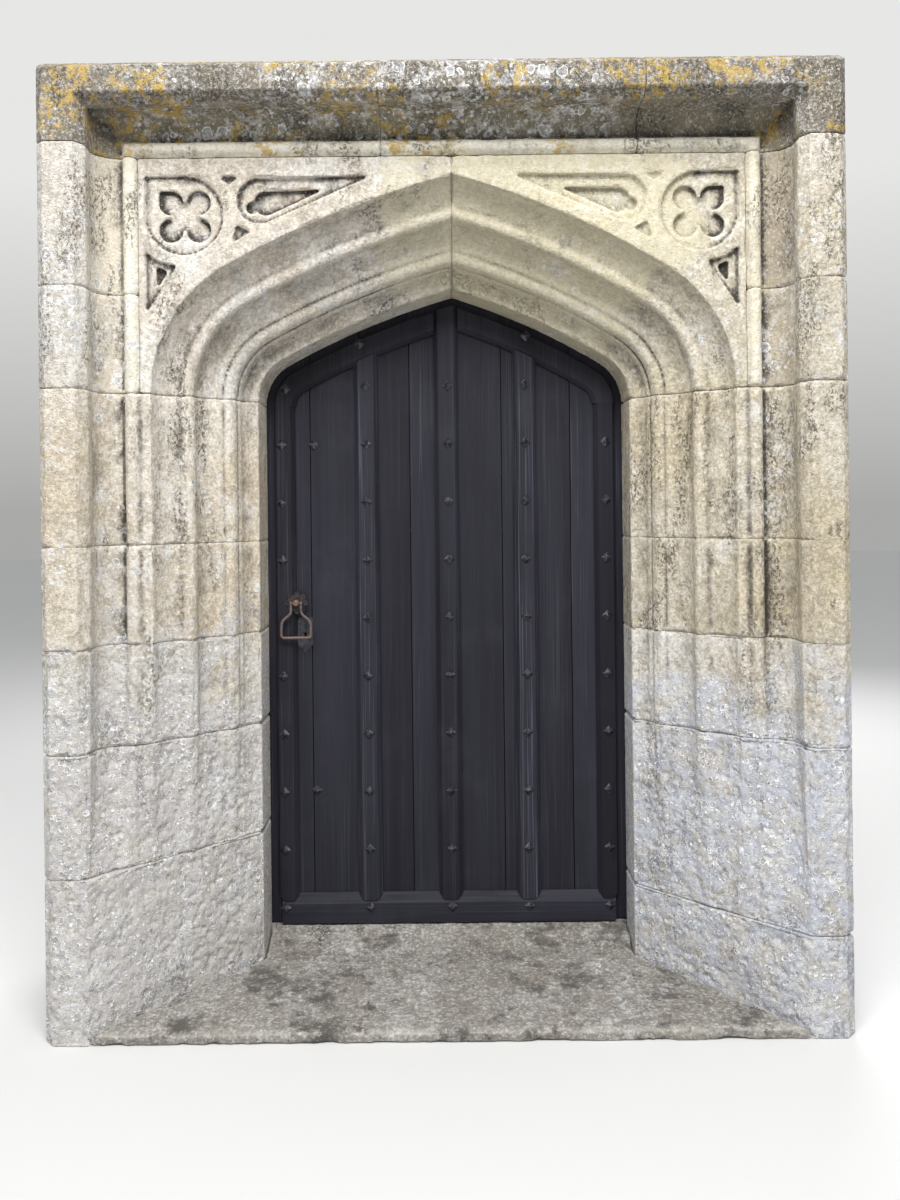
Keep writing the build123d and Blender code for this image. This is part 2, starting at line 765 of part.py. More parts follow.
nail_kinds = {}
nails = []
strap_z = [row_z[row] for row in STRAP_ROWS]
for x, z in all_nails:
    front = -COVER_T if (x, z) in cover_nails else 0
    back = LEAF_BACK + (STRAP_T if z in strap_z and x > STRAP_TIP_X else 0)
    if (front, back) not in nail_kinds:
        nail_kinds[front, back] = nail(front, back)
    nails += nail_kinds[front, back].moved(Location((x, 0, z))).solids()
save(Compound(nails), "door_nails")


# Strap hinges: tapered strap with a rolled eye
def strap(z):
    with BuildPart() as hinge:
        with BuildSketch(facing(LEAF_BACK)):
            with BuildLine():
                Polyline(
                    (PIVOT_X - PIN_R + 2, z - STRAP_W / 2),
                    (PIVOT_X - PIN_R + 2, z + STRAP_W / 2),
                    (HALF_W - REBATE_W, z + STRAP_W / 2),
                    (STRAP_END_NAIL_X + STRAP_W, z + STRAP_TIP_W / 2),
                    (STRAP_END_NAIL_X, z + STRAP_W / 2),
                    (STRAP_TIP_X, z),
                    (STRAP_END_NAIL_X, z - STRAP_W / 2),
                    (STRAP_END_NAIL_X + STRAP_W, z - STRAP_TIP_W / 2),
                    (HALF_W - REBATE_W, z - STRAP_W / 2),
                    close=True,
                )
            make_face()
        extrude(amount=-STRAP_T)
        with BuildSketch(Plane.XY.offset(z - STRAP_W / 2)):
            with Locations((PIVOT_X, pivot_y)):
                Circle(EYE_R)
        extrude(amount=STRAP_W)
        with BuildSketch(Plane.XY.offset(z - STRAP_W / 2)):
            with Locations((PIVOT_X, pivot_y)):
                Circle(PIN_R + PIN_CLEAR)
        extrude(amount=STRAP_W, mode=Mode.SUBTRACT)
        nail_holes(STRAP_TIP_X, PIVOT_X, z - 1, z + 1, LEAF_BACK, STRAP_T)
    return hinge.part


# Hinge hooks: pin on a square tang let into the jamb
def hook(z):
    with BuildPart() as pintle:
        with BuildSketch(Plane.XY.offset(z - HOOK_T)):
            with Locations((PIVOT_X, (pivot_y + LEAF_BACK - HOOK_BURY) / 2)):
                Rectangle(HOOK_W, pivot_y - LEAF_BACK + HOOK_BURY)
            with Locations((PIVOT_X, pivot_y)):
                Circle(EYE_R)
        extrude(amount=HOOK_T)
        with BuildSketch(Plane.XY.offset(z)):
            with Locations((PIVOT_X, pivot_y)):
                Circle(PIN_R)
        extrude(amount=STRAP_W + PIN_OVER)
    return pintle.part


for name, row in (("low", STRAP_ROWS[0]), ("high", STRAP_ROWS[1])):
    save(strap(row_z[row]), f"strap_{name}")
    save(hook(row_z[row] - STRAP_W / 2), f"hinge_hook_{name}")

# Rose plate: lobed disc on the stile
rose_y = -COVER_T - ROSE_T
with BuildPart() as rose:
    with BuildSketch(facing(-COVER_T)):
        with Locations((HANDLE_X, HANDLE_Z)):
            Circle(ROSE_R)
            with PolarLocations(ROSE_R, ROSE_LOBES):
                Circle(ROSE_LOBE_R)
    extrude(amount=ROSE_T)
    with BuildSketch(facing(-COVER_T)):
        with Locations((HANDLE_X, HANDLE_Z)):
            Circle(SPINDLE_R + PIN_CLEAR)
    extrude(amount=ROSE_T, mode=Mode.SUBTRACT)
    with BuildSketch(facing(rose_y)):
        with Locations((HANDLE_X, HANDLE_Z)):
            with PolarLocations(ROSE_R, ROSE_LOBES):
                Circle(ROSE_LOBE_R / 3)
    extrude(amount=-ROSE_T / 2, mode=Mode.SUBTRACT)
save(rose.part, "rose_plate")

# Spindle: boss outside, round bar through the leaf, arm that moves the latch
ring_y = rose_y - RING_OUT
lock_back = LEAF_BACK + LOCK_D
inner_back = lock_back - LOCK_WALL
bolt_y = inner_back - BOLT_BACK - BOLT_T
with BuildPart() as spindle:
    with BuildSketch(facing(rose_y)):
        with Locations((HANDLE_X, HANDLE_Z)):
            Circle(BOSS_R)
    extrude(amount=BOSS_OUT)
    fillet(spindle.faces().sort_by(Axis.Y)[0].edges(), radius=BOSS_R * 0.55)
    with BuildSketch(facing(rose_y)):
        with Locations((HANDLE_X, HANDLE_Z)):
            Circle(SPINDLE_R)
    extrude(amount=rose_y - lock_back)
    with BuildSketch(facing(bolt_y)):
        with Locations((HANDLE_X, HANDLE_Z)):
            Circle(SPINDLE_R + 3)
        with Locations((HANDLE_X, HANDLE_Z + ARM_R / 2)):
            Rectangle(ARM_W, ARM_R)
        with Locations((HANDLE_X, HANDLE_Z + ARM_R)):
            Circle(ARM_TIP_R)
    extrude(amount=-BOLT_T)
    with BuildSketch(Plane.YZ.offset(HANDLE_X)):
        with Locations((ring_y, HANDLE_Z)):
            Circle(RING_PIN_R + PIN_CLEAR)
    extrude(amount=BOSS_R + 1, both=True, mode=Mode.SUBTRACT)
save(spindle.part, "handle_spindle")

# Drop ring: two pins in the boss, necks that flare to a stirrup
with BuildPart() as drop_ring:
    with BuildLine(facing(ring_y)) as ring_line:
        FilletPolyline(
            (HANDLE_X - RING_NECK, HANDLE_Z),
            (HANDLE_X - RING_NECK, HANDLE_Z - 31),
            (HANDLE_X - RING_HALF, HANDLE_Z - 62),
            (HANDLE_X - RING_HALF, HANDLE_Z - RING_DROP),
            (HANDLE_X + RING_HALF, HANDLE_Z - RING_DROP),
            (HANDLE_X + RING_HALF, HANDLE_Z - 62),
            (HANDLE_X + RING_NECK, HANDLE_Z - 31),
            (HANDLE_X + RING_NECK, HANDLE_Z),
            radius=15,
        )
    with BuildSketch(Plane(origin=(HANDLE_X - RING_NECK, ring_y, HANDLE_Z), z_dir=(0, 0, -1))):
        Circle(RING_BAR_R)
    sweep(path=ring_line.line)
    for way in (-1, 1):
        with Locations((HANDLE_X + way * (RING_NECK + 4), ring_y, HANDLE_Z)):
            Sphere(RING_EYE_R)
        with BuildSketch(Plane.YZ.offset(HANDLE_X + way * (RING_NECK + 2))):
            with Locations((ring_y, HANDLE_Z)):
                Circle(RING_PIN_R)
        extrude(amount=-way * (RING_NECK - 3))
save(drop_ring.part, "drop_ring")

# Escutcheon: shield-shaped plate with the keyhole
with BuildPart() as escutcheon:
    with BuildSketch(facing(0)):
        with BuildLine():
            Polyline(
                (KEY_X - PLATE_W / 2, KEY_Z + PLATE_TOP),
                (KEY_X + PLATE_W / 2, KEY_Z + PLATE_TOP),
                (KEY_X + PLATE_W / 2, KEY_Z - PLATE_FOOT),
                (KEY_X, KEY_Z - PLATE_FOOT - PLATE_POINT),
                (KEY_X - PLATE_W / 2, KEY_Z - PLATE_FOOT),
                close=True,
            )
        make_face()
    extrude(amount=PLATE_T)
    with BuildSketch(facing(0)):
        keyhole()
    extrude(amount=PLATE_T, mode=Mode.SUBTRACT)
save(escutcheon.part, "escutcheon")

# Lock case: tray screwed to the leaf, open towards it, with a guide for both bolts
lock_mid = ((LOCK_X[0] + LOCK_X[1]) / 2, (LOCK_Z[0] + LOCK_Z[1]) / 2)
lock_w, lock_h = LOCK_X[1] - LOCK_X[0], LOCK_Z[1] - LOCK_Z[0]
screw_x = [LOCK_X[0] + SCREW_IN, LOCK_X[1] - SCREW_IN]
screw_z = [LOCK_Z[0] + SCREW_IN, LOCK_Z[1] - SCREW_IN]
screw_places = [(x, z) for x in screw_x for z in screw_z]


def bolt_slots(low_x, high_x):
    for z, height in ((latch_z, LATCH_H), (DEAD_Z, DEAD_H)):
        with BuildSketch(Plane.YZ.offset(low_x)) as slot:
            with Locations((bolt_y + BOLT_T / 2, z)):
                Rectangle(BOLT_T + 2 * SLIDE_PLAY, height + 2 * SLIDE_PLAY)
        extrude(slot.sketch, amount=high_x - low_x, mode=Mode.SUBTRACT)


with BuildPart() as lock_case:
    with BuildSketch(facing(LEAF_BACK)):
        with Locations(lock_mid):
            Rectangle(lock_w, lock_h)
    extrude(amount=-LOCK_D)
    with BuildSketch(facing(LEAF_BACK)):
        with Locations(lock_mid):
            Rectangle(lock_w - 2 * LOCK_WALL, lock_h - 2 * LOCK_WALL)
    extrude(amount=LOCK_WALL - LOCK_D, mode=Mode.SUBTRACT)
    with BuildSketch(facing(bolt_y - 2)):
        with Locations((GUIDE_X + GUIDE_T / 2, (latch_z + DEAD_Z) / 2)):
            Rectangle(GUIDE_T, latch_z - DEAD_Z + LATCH_H + DEAD_H)
    extrude(amount=bolt_y - 2 - inner_back)
    bolt_slots(LOCK_X[0], LOCK_X[0] + LOCK_WALL)
    bolt_slots(GUIDE_X, GUIDE_X + GUIDE_T)
    with BuildSketch(facing(LEAF_BACK)):
        with Locations((HANDLE_X, HANDLE_Z)):
            Circle(SPINDLE_R + PIN_CLEAR)
    extrude(amount=-LOCK_D, mode=Mode.SUBTRACT)
    with BuildSketch(facing(LEAF_BACK)):
        with Locations(*screw_places):
            Circle(SCREW_R + LOCK_WALL)
    extrude(amount=-LOCK_D)
    with BuildSketch(facing(LEAF_BACK)):
        with Locations(*screw_places):
            Circle(SCREW_R)
    extrude(amount=-LOCK_D, mode=Mode.SUBTRACT)
save(lock_case.part, "lock_case")

with BuildPart() as lock_screws:
    with BuildSketch(facing(LEAF_BACK)):
        with Locations(*screw_places):
            Circle(SCREW_R)
    extrude(amount=-LOCK_D)
    with BuildSketch(facing(lock_back)):
        with Locations(*screw_places):
            Circle(SCREW_HEAD_R)
    extrude(amount=-SCREW_DOME)
save(lock_screws.part, "lock_screws")

# Latch bolt, slotted for the spindle's arm, and the lock bolt
latch_mid_x = (LOCK_X[0] - BOLT_OUT + BOLT_TAIL_X) / 2
bolt_len = BOLT_TAIL_X - LOCK_X[0] + BOLT_OUT
with BuildPart() as latch_bolt:
    with BuildSketch(facing(bolt_y)):
        with Locations((latch_mid_x, latch_z)):
            Rectangle(bolt_len, LATCH_H)
        with BuildLine():
            half = ARM_TIP_R + ARM_PLAY
            Polyline(
                (HANDLE_X - half - NOTCH_FLARE, latch_z - LATCH_H / 2),
                (HANDLE_X - half, latch_z - LATCH_H / 2 + NOTCH_FLARE),
                (HANDLE_X - half, latch_z + NOTCH_UP),
                (HANDLE_X + half, latch_z + NOTCH_UP),
                (HANDLE_X + half, latch_z - LATCH_H / 2 + NOTCH_FLARE),
                (HANDLE_X + half + NOTCH_FLARE, latch_z - LATCH_H / 2),
                close=True,
            )
        make_face(mode=Mode.SUBTRACT)
    extrude(amount=-BOLT_T)
save(latch_bolt.part, "latch_bolt")

with BuildPart() as lock_bolt:
    with BuildSketch(facing(bolt_y)):
        with Locations((latch_mid_x, DEAD_Z)):
            Rectangle(bolt_len, DEAD_H)
    extrude(amount=-BOLT_T)
save(lock_bolt.part, "lock_bolt")

# Keeper: iron box on the jamb's back with a mouth for each bolt and two tangs in the stone
keeper_mid = ((KEEPER_X[0] + KEEPER_X[1]) / 2, (keeper_z[0] + keeper_z[1]) / 2)
keeper_w, keeper_h = KEEPER_X[1] - KEEPER_X[0], keeper_z[1] - keeper_z[0]
with BuildPart() as keeper:
    with BuildSketch(facing(LEAF_BACK)):
        with Locations(keeper_mid):
            Rectangle(keeper_w, keeper_h)
    extrude(amount=-KEEPER_D)
    for z, height in ((latch_z, LATCH_H), (DEAD_Z, DEAD_H)):
        with BuildSketch(Plane.YZ.offset(KEEPER_X[0] + KEEPER_WALL)):
            with Locations((bolt_y + BOLT_T / 2, z)):
                Rectangle(BOLT_T + 2 * MOUTH_PLAY, height + 2 * MOUTH_PLAY)
        extrude(amount=keeper_w, mode=Mode.SUBTRACT)
    with BuildSketch(facing(LEAF_BACK)):
        with Locations(*[(KEEPER_X[0] + KEEPER_WALL + HOOK_T / 2, z + HOOK_T / 2) for z in tang_z]):
            Rectangle(HOOK_T, HOOK_T)
    extrude(amount=KEEPER_TANG)
save(keeper.part, "keeper")
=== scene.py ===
import math
import bmesh
import bpy
from mathutils import Matrix, Vector


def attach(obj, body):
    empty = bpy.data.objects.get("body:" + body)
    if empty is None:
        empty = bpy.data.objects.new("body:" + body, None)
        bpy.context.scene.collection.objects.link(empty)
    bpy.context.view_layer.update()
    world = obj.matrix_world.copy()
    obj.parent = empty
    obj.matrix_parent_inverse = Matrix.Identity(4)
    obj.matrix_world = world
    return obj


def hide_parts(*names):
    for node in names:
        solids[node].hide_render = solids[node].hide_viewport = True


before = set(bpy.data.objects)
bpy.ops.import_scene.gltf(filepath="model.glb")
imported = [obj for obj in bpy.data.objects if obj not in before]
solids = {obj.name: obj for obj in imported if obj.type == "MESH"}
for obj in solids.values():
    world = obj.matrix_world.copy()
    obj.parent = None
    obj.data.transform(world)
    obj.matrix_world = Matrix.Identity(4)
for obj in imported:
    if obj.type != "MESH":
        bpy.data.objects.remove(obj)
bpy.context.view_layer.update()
scene = bpy.context.scene
scene.view_settings.view_transform = "Standard"

# Camera: stands 3.41 m in front of the leaf with the eye 1.40 m above the sill, held level,
# with the frame taken below the horizon and tilted by about half a degree.
EYE = (0.0, -3.41, 1.51)
TILT = -0.62
PHOTO_H, SHIFT_X, SHIFT_Y = 1200, 5, -90
lens = bpy.data.cameras.new("camera")
lens.sensor_fit = "VERTICAL"
lens.sensor_height = 36
lens.lens = 30
lens.shift_x = SHIFT_X / PHOTO_H
lens.shift_y = SHIFT_Y / PHOTO_H
camera = bpy.data.objects.new("camera", lens)
camera.matrix_world = (
    Matrix.Translation(EYE)
    @ Matrix.Rotation(math.radians(90), 4, "X")
    @ Matrix.Rotation(math.radians(TILT), 4, "Z")
)
scene.collection.objects.link(camera)
scene.camera = camera


# Floor and light: a plain pale floor, an even pale surround, and one wide soft panel
# above and in front, which leaves the hollows of the mouldings in shade.
def put(tree, kind, values=None, **settings):
    """A node in the tree, with its settings, and its inputs linked or filled in."""
    made = tree.nodes.new(kind)
    for key, value in settings.items():
        setattr(made, key, value)
    for key, value in (values or {}).items():
        socket = made.inputs[key]
        if isinstance(value, bpy.types.NodeSocket):
            tree.links.new(value, socket)
        else:
            socket.default_value = value
    return made


def sums(tree, operation, a, b, c=0.5):
    """Arithmetic on one or more fields or numbers."""
    return put(tree, "ShaderNodeMath", {0: a, 1: b, 2: c}, operation=operation).outputs[0]


SURROUND = (0.80, 0.80, 0.79, 1)
HORIZON = (0.40, 0.40, 0.395, 1)
DAYLIGHT, DAYLIGHT_POWER = (0.97, 0.985, 1, 1), 0.50
world = bpy.data.worlds.new("surround")
scene.world = world
world.use_nodes = True
sky = world.node_tree
sky.nodes.clear()
ray = put(sky, "ShaderNodeLightPath").outputs
seen = sums(sky, "MAXIMUM", ray["Is Camera Ray"], ray["Is Glossy Ray"])
seen = sums(sky, "MAXIMUM", seen, ray["Is Transmission Ray"])
incoming = put(sky, "ShaderNodeNewGeometry").outputs["Incoming"]
upward = put(sky, "ShaderNodeSeparateXYZ", {0: incoming}).outputs[2]
above = put(sky, "ShaderNodeMapRange", {"Value": upward, "From Min": 0.0, "From Max": -0.30})
fade = put(sky, "ShaderNodeMix", {0: above.outputs[0], 6: HORIZON, 7: SURROUND}, data_type="RGBA")
shown = put(sky, "ShaderNodeBackground", {"Color": fade.outputs[2], "Strength": 1.0})
lit = put(sky, "ShaderNodeBackground", {"Color": DAYLIGHT, "Strength": DAYLIGHT_POWER})
either = put(sky, "ShaderNodeMixShader", {0: seen, 1: lit.outputs[0], 2: shown.outputs[0]})
put(sky, "ShaderNodeOutputWorld", {"Surface": either.outputs[0]})


def soft_panel(name, place, aim, width, height, power):
    data = bpy.data.lights.new(name, "AREA")
    data.shape = "RECTANGLE"
    data.size = width
    data.size_y = height
    data.energy = power
    panel = bpy.data.objects.new(name, data)
    panel.location = place
    panel.rotation_euler = (Vector(aim) - Vector(place)).to_track_quat("-Z", "Y").to_euler()
    scene.collection.objects.link(panel)


soft_panel("panel_above", place=(-0.15, -3.6, 5.6), aim=(0, 0, 1.3), width=4.2, height=2.4, power=430)
soft_panel("panel_back", place=(1.5, 4.5, 4.0), aim=(0, 0, 1.2), width=4.0, height=3.0, power=200)

bpy.ops.mesh.primitive_plane_add(size=60)
floor = bpy.context.object
floor.name = "floor"
floor_skin = bpy.data.materials.new("floor_pale")
floor_skin.use_nodes = True
floor_face = floor_skin.node_tree.nodes["Principled BSDF"].inputs
floor_face["Base Color"].default_value = (0.70, 0.70, 0.69, 1)
floor_face["Roughness"].default_value = 0.9
floor.data.materials.append(floor_skin)


# Limestone: one recipe for all the dressed stones. Pale and warm beds, stains that run down,
# grime and painted shade in the hollows and recesses, pits darkened with grime and painted shade,
# bleached arrises with a painted highlight, and crusts of lichen in rings and specks.
def mixed(tree, amount, under, over):
    """The colour over laid on the colour under by an amount; a plain colour is red, green, blue."""
    over = over if isinstance(over, bpy.types.NodeSocket) else (*over, 1)
    under = under if isinstance(under, bpy.types.NodeSocket) else (*under, 1)
    return put(tree, "ShaderNodeMix", {0: amount, 6: under, 7: over}, data_type="RGBA").outputs[2]


def times(tree, a, b):
    return sums(tree, "MULTIPLY", a, b)


def ramp(tree, value, low, high, to_low=0.0, to_high=1.0):
    ends = {"From Min": low, "From Max": high, "To Min": to_low, "To Max": to_high}
    made = put(tree, "ShaderNodeMapRange", {"Value": value, **ends})
    made.interpolation_type = "SMOOTHSTEP"
    return made.outputs[0]


def cloud(tree, where, scale, detail=4.0, rough=0.55, stretch=(1, 1, 1), shift=(0, 0, 0)):
    """Fractal noise, a scale of 10 giving clouds of about 100 mm."""
    moved = put(tree, "ShaderNodeMapping", {"Vector": where, "Location": shift, "Scale": stretch})
    grain = {"Vector": moved.outputs[0], "Scale": scale, "Detail": detail, "Roughness": rough}
    return put(tree, "ShaderNodeTexNoise", grain).outputs[0]


def crust_rings(tree, where, scale, share, width, ragged=0.75):
    """Round lichens: a disc and its raised rim, on a share of the cells."""
    bend = put(tree, "ShaderNodeTexNoise", {"Vector": where, "Scale": scale * 1.6, "Detail": 3.0})
    off = put(tree, "ShaderNodeVectorMath", {0: bend.outputs[1], 1: (0.5, 0.5, 0.5)}, operation="SUBTRACT")
    off = put(tree, "ShaderNodeVectorMath", {0: off.outputs[0], "Scale": ragged / scale}, operation="SCALE")
    bent = put(tree, "ShaderNodeVectorMath", {0: where, 1: off.outputs[0]}, operation="ADD")
    cell = put(tree, "ShaderNodeTexVoronoi", {"Vector": bent.outputs[0], "Scale": scale}).outputs
    pick = put(tree, "ShaderNodeSeparateColor", {0: cell["Color"]}).outputs
    size = ramp(tree, pick[0], 0, 1, 0.16, 0.50)
    inside = sums(tree, "SUBTRACT", size, cell["Distance"])
    there = ramp(tree, pick[1], 1 - share - 0.03, 1 - share + 0.03)
    disc = times(tree, ramp(tree, inside, 0.0, 0.05), there)
    rim = times(tree, disc, ramp(tree, inside, width, width + 0.08, 1.0, 0.0))
    return disc, rim


def parts(tree, where):
    return put(tree, "ShaderNodeSeparateXYZ", {0: where}).outputs


def roll_and_bay(tree, where, fine, colour, roll, bay):
    """The square roll and the hollow beside it in tones of their own, the hollow's tone carrying grime and
    painted shade.
    """
    place = parts(tree, where)
    beyond = sums(tree, "SUBTRACT", sums(tree, "ABSOLUTE", place[0], 0.5), square_x)
    outward = sums(tree, "MAXIMUM", beyond, sums(tree, "SUBTRACT", place[2], square_z))
    ragged = sums(tree, "ADD", ramp(tree, fine, 0.3, 0.7, -0.008, 0.008), outward)
    front = ramp(tree, place[1], square_back - 0.02, square_back - 0.03)
    # the hollow beside the roll takes the bay tone: grime and painted shade
    colour = mixed(tree, times(tree, ramp(tree, ragged, 0.120, 0.110), front), colour, bay)
    return mixed(tree, times(tree, ramp(tree, ragged, 0.052, 0.044), front), colour, roll)


def mended_stretch(tree, where, colour, centre_x, centre_z, wide):
    """A smooth stretch made good with yellower stone."""
    place = parts(tree, where)
    flat = put(tree, "ShaderNodeCombineXYZ", {0: place[0], 1: 0.0, 2: place[2]}).outputs[0]
    ends = {0: flat, 1: (centre_x, 0.0, centre_z)}
    away = put(tree, "ShaderNodeVectorMath", ends, operation="DISTANCE").outputs["Value"]
    away = sums(tree, "ADD", away, ramp(tree, cloud(tree, where, 5.0, 5.0, 0.6), 0.3, 0.7, -0.10, 0.10))
    return mixed(tree, times(tree, ramp(tree, away, wide, wide - 0.05), 0.62), colour, (0.60, 0.55, 0.40))


# brown-black for grime and painted shade in hollows and pits
DIRT_AND_SHADE = (0.095, 0.080, 0.062)


def limestone(
    name, pale, warm, stain=0.3, dirt_and_shade=0.6, crust=0.2, grey=0.1, orange=0.0, beds=2.6, shift=(0, 0, 0),
    roll=None, bay=None, pitted=0.5, bleach=0.2, grown=None, film_tone=(0.50, 0.50, 0.515), mended=None,
):
    """Weathered limestone. The tones are colours, the amounts run from 0 to 1, and grown is a height."""
    skin = bpy.data.materials.new(name)
    skin.use_nodes = True
    tree = skin.node_tree
    tree.nodes.clear()
    where = put(tree, "ShaderNodeTexCoord").outputs["Object"]
    hollow, arris, tint, shelter = [
        put(tree, "ShaderNodeAttribute", attribute_name=kept).outputs["Fac"]
        for kept in ("hollow", "arris", "tint", "shelter")
    ]
    # the stone itself
    bed = ramp(tree, cloud(tree, where, beds, 5.0, 0.6, shift=shift), 0.36, 0.64)
    colour = mixed(tree, bed, pale, warm)
    fine = cloud(tree, where, 34, 4.0, 0.7, shift=shift)
    colour = mixed(tree, ramp(tree, fine, 0.40, 0.60, 0.55, 0.0), colour, [0.55 * c for c in warm])
    pale_patch = cloud(tree, where, 4.5, 6.0, 0.72, shift=(6.0, 3.0, 1.0))
    pale_patch = ramp(tree, pale_patch, 0.64 - 0.25 * bleach, 0.69 - 0.25 * bleach)
    colour = mixed(tree, times(tree, pale_patch, 0.70), colour, (0.70, 0.68, 0.64))
    grain = cloud(tree, where, 330, 1.0, 0.6)
    colour = mixed(tree, ramp(tree, grain, 0.42, 0.68, 0.16, 0.0), colour, (0.30, 0.26, 0.20))
    speckle = cloud(tree, where, 95, 3.0, 0.75, shift=(2.0, 2.0, 2.0))
    colour = mixed(tree, ramp(tree, speckle, 0.36, 0.50, 0.42, 0.0), colour, [0.42 * c for c in warm])
    colour = mixed(tree, ramp(tree, speckle, 0.52, 0.64, 0.0, 0.45), colour, (0.82, 0.79, 0.73))
    if roll:
        colour = roll_and_bay(tree, where, fine, colour, roll, bay)
    # stains that run down; grime and painted shade in the hollows, black crust and painted shade
    # in broad recesses, and bleached arrises with a painted highlight
    run = cloud(tree, where, 3.2, 7.0, 0.66, stretch=(2.6, 2.6, 0.8), shift=shift)
    colour = mixed(tree, ramp(tree, run, 0.47, 0.70, 0.0, stain), colour, (0.20, 0.165, 0.12))
    patchy = ramp(tree, cloud(tree, where, 7, 6.0, 0.7, shift=shift), 0.32, 0.60, 0.55, 1.0)
    colour = mixed(tree, times(tree, times(tree, hollow, patchy), dirt_and_shade), colour, DIRT_AND_SHADE)
    # near-black in the deepest hollows: grime and painted shade
    line = times(tree, ramp(tree, hollow, 0.40, 0.85), patchy)
    colour = mixed(tree, times(tree, line, min(1.0, 0.95 * dirt_and_shade)), colour, (0.045, 0.038, 0.030))
    # darker in broad recesses: black crust and painted shade
    shade_and_crust_cloud = cloud(tree, where, 11, 4.0, 0.74, stretch=(1, 1, 0.55), shift=shift)
    shade_and_crust = times(tree, shelter, ramp(tree, shade_and_crust_cloud, 0.44, 0.60))
    colour = mixed(tree, times(tree, shade_and_crust, min(1.0, 1.25 * dirt_and_shade)), colour, (0.055, 0.050, 0.042))
    # paler along the arrises: bleached wear with a painted highlight
    colour = mixed(tree, times(tree, arris, 0.30), colour, (0.74, 0.71, 0.63))
    # open pits, darkened inside with grime and painted shade, in bands along the hollows and in patches
    holes = ramp(tree, cloud(tree, where, 120, 3.0, 0.80, stretch=(1, 1, 0.7), shift=shift), 0.525, 0.585)
    bands = cloud(tree, where, 5.0, 3.0, 0.7, stretch=(1.6, 1.6, 0.6), shift=(1.0, 8.0, 2.0))
    bands = ramp(tree, bands, 0.66 - 0.28 * pitted, 0.76 - 0.28 * pitted)
    open_pit = times(tree, holes, sums(tree, "MAXIMUM", bands, shade_and_crust))
    colour = mixed(tree, times(tree, open_pit, 0.78), colour, DIRT_AND_SHADE)
    if grown:
        # below a ragged line the face is grown over with blue-grey crust
        ragged_line = cloud(tree, where, 4.0, 3.0, 0.7, shift=(2.0, 2.0, 6.0))
        level = sums(tree, "ADD", parts(tree, where)[2], ramp(tree, ragged_line, 0.25, 0.75, -0.22, 0.22))
        over = ramp(tree, level, grown, grown - 0.26)
        ragged_film = cloud(tree, where, 16, 6.0, 0.78, shift=(5.0, 1.0, 1.0))
        ragged_film = ramp(tree, ragged_film, 0.40, 0.56, 0.25, 0.92)
        colour = mixed(tree, times(tree, over, ragged_film), colour, film_tone)
    if mended:
        colour = mended_stretch(tree, where, colour, *mended)
    # grey crust in spots and patches
    patch = cloud(tree, where, 5.5, 6.0, 0.78, shift=(3.1, 1.7, 0.4))
    dark = ramp(tree, patch, 0.62 - 0.22 * grey, 0.74 - 0.22 * grey, 0.0, min(1.0, 0.45 + grey))
    colour = mixed(tree, dark, colour, (0.115, 0.105, 0.095))
    large, large_rim = crust_rings(tree, where, 26, crust, 0.05)
    small, _ = crust_rings(tree, where, 75, crust * 0.8, 0.06)
    crusted = cloud(tree, where, 2.4, 6.0, 0.7, shift=(0.6, 4.0, 2.2))
    crusted = ramp(tree, crusted, 0.56 - 0.30 * crust, 0.66 - 0.2 * crust)
    film = ramp(tree, cloud(tree, where, 21, 6.0, 0.80, shift=(4.0, 1.0, 3.0)), 0.50, 0.60)
    specks = ramp(tree, cloud(tree, where, 120, 2.0, 0.75), 0.60 - 0.12 * crust, 0.68 - 0.12 * crust)
    for growth, amount, tone in (
        (film, 0.55, (0.70, 0.70, 0.70)),
        (large, 0.50, (0.42, 0.43, 0.45)),
        (large_rim, 0.80, (0.82, 0.82, 0.83)),
        (small, 0.60, (0.78, 0.78, 0.78)),
    ):
        colour = mixed(tree, times(tree, times(tree, growth, crusted), amount), colour, tone)
    colour = mixed(tree, times(tree, specks, 0.35 * min(1.0, 0.4 + crust)), colour, (0.80, 0.79, 0.77))
    if orange:
        spot = ramp(tree, cloud(tree, where, 30, 5.0, 0.78, shift=(9.0, 2.0, 5.0)), 0.49, 0.55)
        clump = cloud(tree, where, 3.6, 5.0, 0.7, shift=(7.0, 2.0, 1.0))
        clump = ramp(tree, clump, 0.62 - 0.12 * orange, 0.70 - 0.12 * orange)
        colour = mixed(tree, times(tree, times(tree, spot, clump), 0.80), colour, (0.46, 0.32, 0.09))
    if grown:
        # close rings of lichen with thin pale rims
        wide_disc, wide_rim = crust_rings(tree, where, 42, 0.90, 0.10, ragged=0.6)
        close_disc, close_rim = crust_rings(tree, where, 72, 0.62, 0.14, ragged=0.6)
        hold = ramp(tree, cloud(tree, where, 6.0, 3.0, 0.75, shift=(8.0, 1.0, 4.0)), 0.36, 0.50, 0.20, 1.0)
        grip = times(tree, over, hold)
        colour = mixed(tree, times(tree, times(tree, wide_disc, grip), 0.50), colour, (0.33, 0.33, 0.35))
        colour = mixed(tree, times(tree, times(tree, close_disc, grip), 0.40), colour, (0.86, 0.86, 0.87))
        rims = times(tree, sums(tree, "MAXIMUM", wide_rim, close_rim), grip)
        colour = mixed(tree, times(tree, rims, 0.9), colour, (0.92, 0.92, 0.93))
    # each stone a little different
    value = ramp(tree, tint, 0, 1, 0.90, 1.08)
    depth = ramp(tree, tint, 0, 1, 1.15, 0.9)
    own = put(tree, "ShaderNodeHueSaturation", {"Color": colour, "Value": value, "Saturation": depth})
